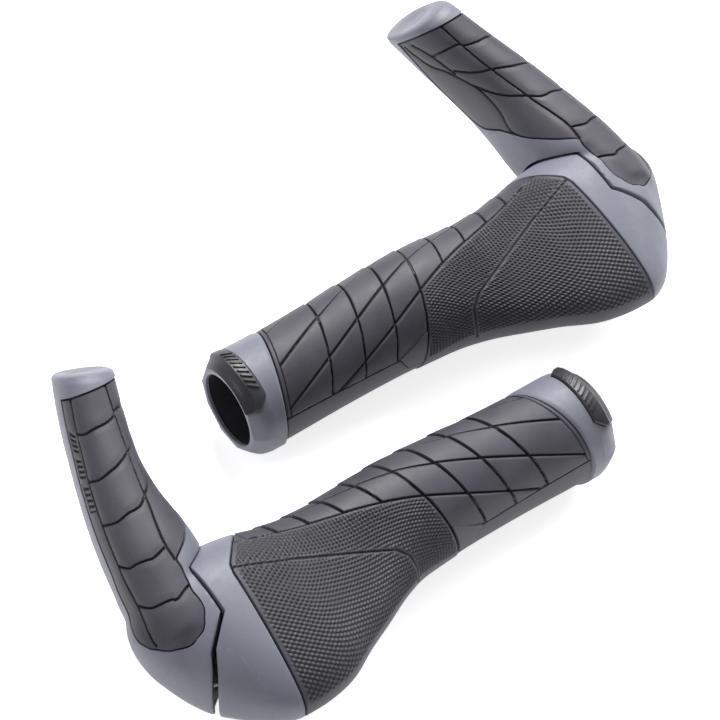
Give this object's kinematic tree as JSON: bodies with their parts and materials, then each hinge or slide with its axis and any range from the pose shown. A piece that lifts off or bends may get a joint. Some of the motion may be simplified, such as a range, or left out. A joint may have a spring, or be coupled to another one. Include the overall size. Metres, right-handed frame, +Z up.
{
  "type": "bar end grips",
  "caption": "Pair of ergonomic handlebar grips with palm wings, collars and integrated swivelling bar ends, each held by a hidden clamp.",
  "frame": {"origin": "centre of the pair's box in plan, at the level the grips rest on", "axes": "+X along both handlebar axes towards the right grip's outer end, +Y forward towards the bar ends, +Z up"},
  "size_m": [0.2152, 0.1798, 0.0532],
  "materials": {
    "grey_plastic": "satin moulded grey nylon",
    "black_rubber": "matte moulded rubber",
    "black_plastic": "satin moulded black nylon",
    "alloy": "machined",
    "black_steel": "black oxide",
    "zinc_steel": "zinc plated"
  },
  "bodies": {
    "grips": {"right_inner_sleeve": "black_plastic", "right_collar": "grey_plastic", "right_collar_insert": "black_plastic", "right_rubber_grip": "black_rubber", "right_outer_flank": "grey_plastic", "left_inner_sleeve": "black_plastic", "left_collar": "grey_plastic", "left_collar_insert": "black_plastic", "left_rubber_grip": "black_rubber", "left_outer_flank": "grey_plastic"},
    "right_bar_end": {"right_bar_end_body": "grey_plastic", "right_bar_end_pad": "black_rubber", "right_clamp_ring": "alloy", "right_clamp_bolt": "black_steel", "right_clamp_washer": "zinc_steel", "right_clamp_nut": "zinc_steel"},
    "left_bar_end": {"left_bar_end_body": "grey_plastic", "left_bar_end_pad": "black_rubber", "left_clamp_ring": "alloy", "left_clamp_bolt": "black_steel", "left_clamp_washer": "zinc_steel", "left_clamp_nut": "zinc_steel"}
  },
  "joints": [
    {"name": "right_bar_end_swivel", "type": "hinge", "parent": "grips", "child": "right_bar_end", "pos_m": [0.0922, 0.00794, 0.0159], "axis": [1, 0, 0], "range_deg": [-8, 2]},
    {"name": "left_bar_end_swivel", "type": "hinge", "parent": "grips", "child": "left_bar_end", "pos_m": [-0.0922, -0.05156, 0.0159], "axis": [1, 0, 0], "range_deg": [-8, 2]}
  ]
}
